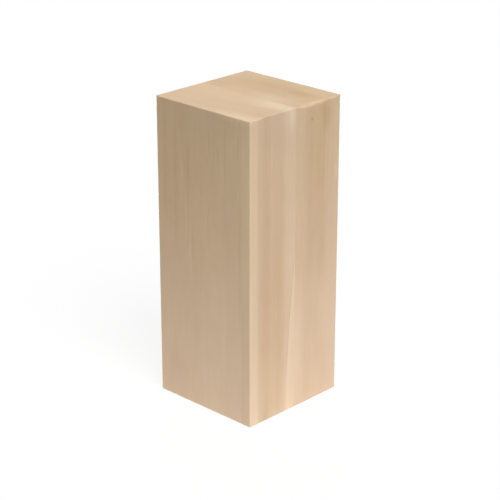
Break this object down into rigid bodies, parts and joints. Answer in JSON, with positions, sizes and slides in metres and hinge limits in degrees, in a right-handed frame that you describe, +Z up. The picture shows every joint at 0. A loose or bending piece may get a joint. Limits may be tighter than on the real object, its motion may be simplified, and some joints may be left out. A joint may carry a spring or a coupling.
{
  "type": "wood carving block",
  "caption": "Square, upright basswood block for carving, glued up from boards, with planed sides and sawn ends.",
  "frame": {"origin": "middle of the lower end, on the surface that the block stands on", "axes": "+Z up along the grain; X across the width of both boards; Y through their thicknesses, with the glue line at Y = 0"},
  "size_m": [0.1016, 0.1016, 0.254],
  "materials": {
    "front_basswood": "bare, planed and sawn",
    "back_basswood": "bare, planed and sawn"
  },
  "bodies": {
    "root": {"front_board": "front_basswood", "back_board": "back_basswood"}
  },
  "joints": []
}
